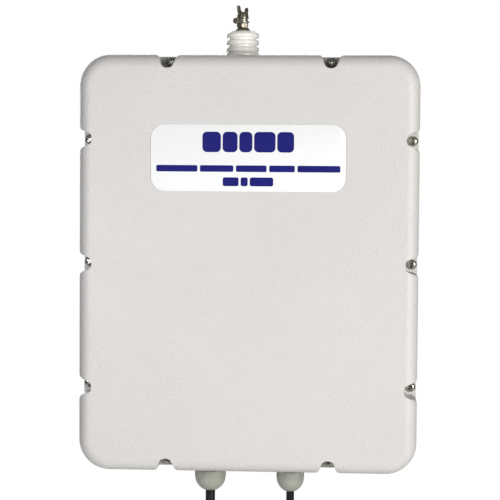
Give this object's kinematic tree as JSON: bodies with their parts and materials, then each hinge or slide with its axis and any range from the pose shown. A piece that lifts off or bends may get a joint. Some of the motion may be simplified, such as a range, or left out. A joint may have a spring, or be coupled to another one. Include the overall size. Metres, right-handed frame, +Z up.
{
  "type": "remote antenna tuner",
  "caption": "Weatherproof box tuner with a ribbed insulator terminal on top and two glanded cables below.",
  "frame": {"origin": "centre of the case's flat back face, which is held against a wall or mast plate", "axes": "+X to the right seen from the front, +Y out of the back, +Z up towards the insulator"},
  "size_m": [0.24, 0.0702, 0.561],
  "materials": {
    "case_plastic": "fine-textured moulded ABS, pale warm grey",
    "label": "satin printed plate, white",
    "steel": "zinc plated",
    "brass": "nickel plated, dulled",
    "tinned_copper": "tinned, satin",
    "bare_copper": "bare drawn wire",
    "ceramic": "glazed, off-white",
    "gland_plastic": "moulded polyamide, mid grey",
    "rubber": "black, matt",
    "cable_sheath": "black, satin",
    "tie_nylon": "black nylon",
    "plug_nylon": "natural nylon",
    "nickel": "nickel plated, knurled",
    "circuit_board": "green solder mask",
    "relay_plastic": "black case",
    "painted_core": "enamelled core",
    "terminal_plastic": "green polyamide"
  },
  "bodies": {
    "case": {"air_coil": "bare_copper", "antenna_insulator": "ceramic", "antenna_lead": "rubber", "antenna_ring_lug": "tinned_copper", "antenna_stud": "brass", "board_screw_1": "steel", "board_screw_2": "steel", "board_screw_3": "steel", "board_screw_4": "steel", "coax_cable": "cable_sheath", "coax_cable_coil": "cable_sheath", "coax_cable_tail": "cable_sheath", "coax_cable_tie": "tie_nylon", "coax_gland_body": "gland_plastic", "coax_gland_lock_nut": "gland_plastic", "coax_gland_washer": "rubber", "coax_plug_body": "nickel", "control_cable": "cable_sheath", "control_cable_coil": "cable_sheath", "control_cable_tail": "cable_sheath", "control_cable_tie": "tie_nylon", "control_gland_body": "gland_plastic", "control_gland_lock_nut": "gland_plastic", "control_gland_washer": "rubber", "control_plug": "plug_nylon", "cover_gasket": "rubber", "earth_bolt": "brass", "insulator_gasket": "rubber", "main_board": "circuit_board", "rear_base": "case_plastic", "relay_1": "relay_plastic", "relay_2": "relay_plastic", "relay_3": "relay_plastic", "stud_cup_washer": "brass", "stud_flange_nut": "brass", "stud_hex_nut": "brass", "terminal_block": "terminal_plastic", "toroid_inductor": "painted_core"},
    "cover": {"front_cover": "case_plastic", "front_label": "label", "cover_screw_01": "steel", "cover_screw_02": "steel", "cover_screw_03": "steel", "cover_screw_04": "steel", "cover_screw_05": "steel", "cover_screw_06": "steel", "cover_screw_07": "steel", "cover_screw_08": "steel", "cover_screw_09": "steel", "cover_screw_10": "steel"},
    "antenna_washer": {"antenna_lock_washer": "steel"},
    "antenna_nut": {"antenna_wing_nut": "brass"},
    "earth_washer": {"earth_washer": "steel"},
    "earth_nut": {"earth_wing_nut": "brass"},
    "control_seal": {"control_gland_seal": "rubber"},
    "control_nut": {"control_gland_nut": "gland_plastic"},
    "coax_seal": {"coax_gland_seal": "rubber"},
    "coax_nut": {"coax_gland_nut": "gland_plastic"},
    "plug_ring": {"coax_plug_ring": "nickel"}
  },
  "joints": [
    {"name": "cover_slide", "type": "slide", "parent": "case", "child": "cover", "axis": [0, -1, 0], "range_m": [0, 0.08]},
    {"name": "antenna_nut_turn", "type": "hinge", "parent": "antenna_washer", "child": "antenna_nut", "pos_m": [-0.008, -0.017, 0.1475], "axis": [0, 0, 1], "range_deg": [0, 1440]},
    {"name": "antenna_nut_travel", "type": "slide", "parent": "case", "child": "antenna_washer", "axis": [0, 0, 1], "range_m": [0, 0.0032]},
    {"name": "earth_nut_turn", "type": "hinge", "parent": "earth_washer", "child": "earth_nut", "pos_m": [0, -0.0105, -0.1475], "axis": [0, 0, -1], "range_deg": [0, 720]},
    {"name": "earth_nut_travel", "type": "slide", "parent": "case", "child": "earth_washer", "axis": [0, 0, -1], "range_m": [0, 0.0016]},
    {"name": "control_gland_turn", "type": "hinge", "parent": "control_seal", "child": "control_nut", "pos_m": [-0.0295, -0.017, -0.1475], "axis": [0, 0, -1], "range_deg": [0, 720]},
    {"name": "control_gland_travel", "type": "slide", "parent": "case", "child": "control_seal", "axis": [0, 0, -1], "range_m": [0, 0.003]},
    {"name": "coax_gland_turn", "type": "hinge", "parent": "coax_seal", "child": "coax_nut", "pos_m": [0.0295, -0.017, -0.1475], "axis": [0, 0, -1], "range_deg": [0, 720]},
    {"name": "coax_gland_travel", "type": "slide", "parent": "case", "child": "coax_seal", "axis": [0, 0, -1], "range_m": [0, 0.003]},
    {"name": "plug_ring_spin", "type": "hinge", "parent": "case", "child": "plug_ring", "pos_m": [0.10925, -0.02, -0.349], "axis": [0, 0, 1], "continuous": true}
  ],
  "couplings": [
    {"joint": "antenna_nut_turn", "follows": "antenna_nut_travel", "rad_per_m": 7854},
    {"joint": "earth_nut_turn", "follows": "earth_nut_travel", "rad_per_m": 7854},
    {"joint": "control_gland_turn", "follows": "control_gland_travel", "rad_per_m": 4188.8},
    {"joint": "coax_gland_turn", "follows": "coax_gland_travel", "rad_per_m": 4188.8}
  ]
}
